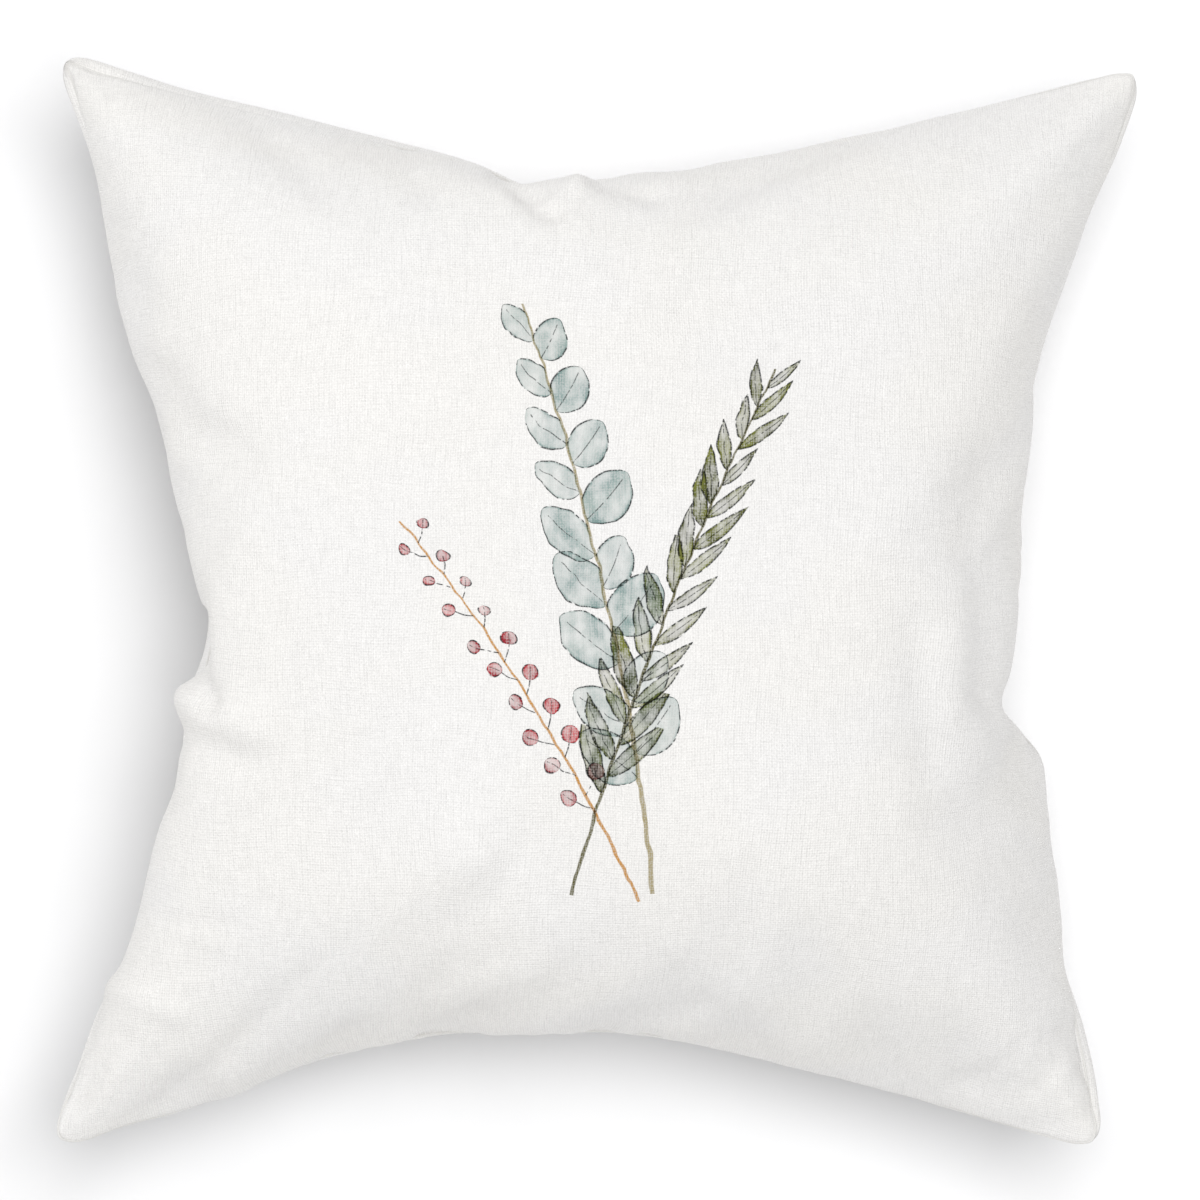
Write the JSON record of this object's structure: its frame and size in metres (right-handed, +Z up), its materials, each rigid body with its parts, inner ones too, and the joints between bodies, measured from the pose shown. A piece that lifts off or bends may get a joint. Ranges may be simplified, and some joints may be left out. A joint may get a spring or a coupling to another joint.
{
  "type": "throw pillow",
  "caption": "Plump square linen throw pillow with knife edges, pulled-in sides and soft ears, a small printed design on its front, lying on its back",
  "frame": {"origin": "on the floor under the middle of the pillow's outline, where the back panel rests", "axes": "+Z up out of the front panel, +Y towards the top edge of the front panel, +X towards its right edge"},
  "size_m": [0.4812, 0.4837, 0.2054],
  "materials": {
    "linen": "off-white plain-weave linen with uneven threads, matt, with a small water-coloured print on the front panel"
  },
  "bodies": {
    "root": {"throw_pillow": "linen"}
  },
  "joints": []
}
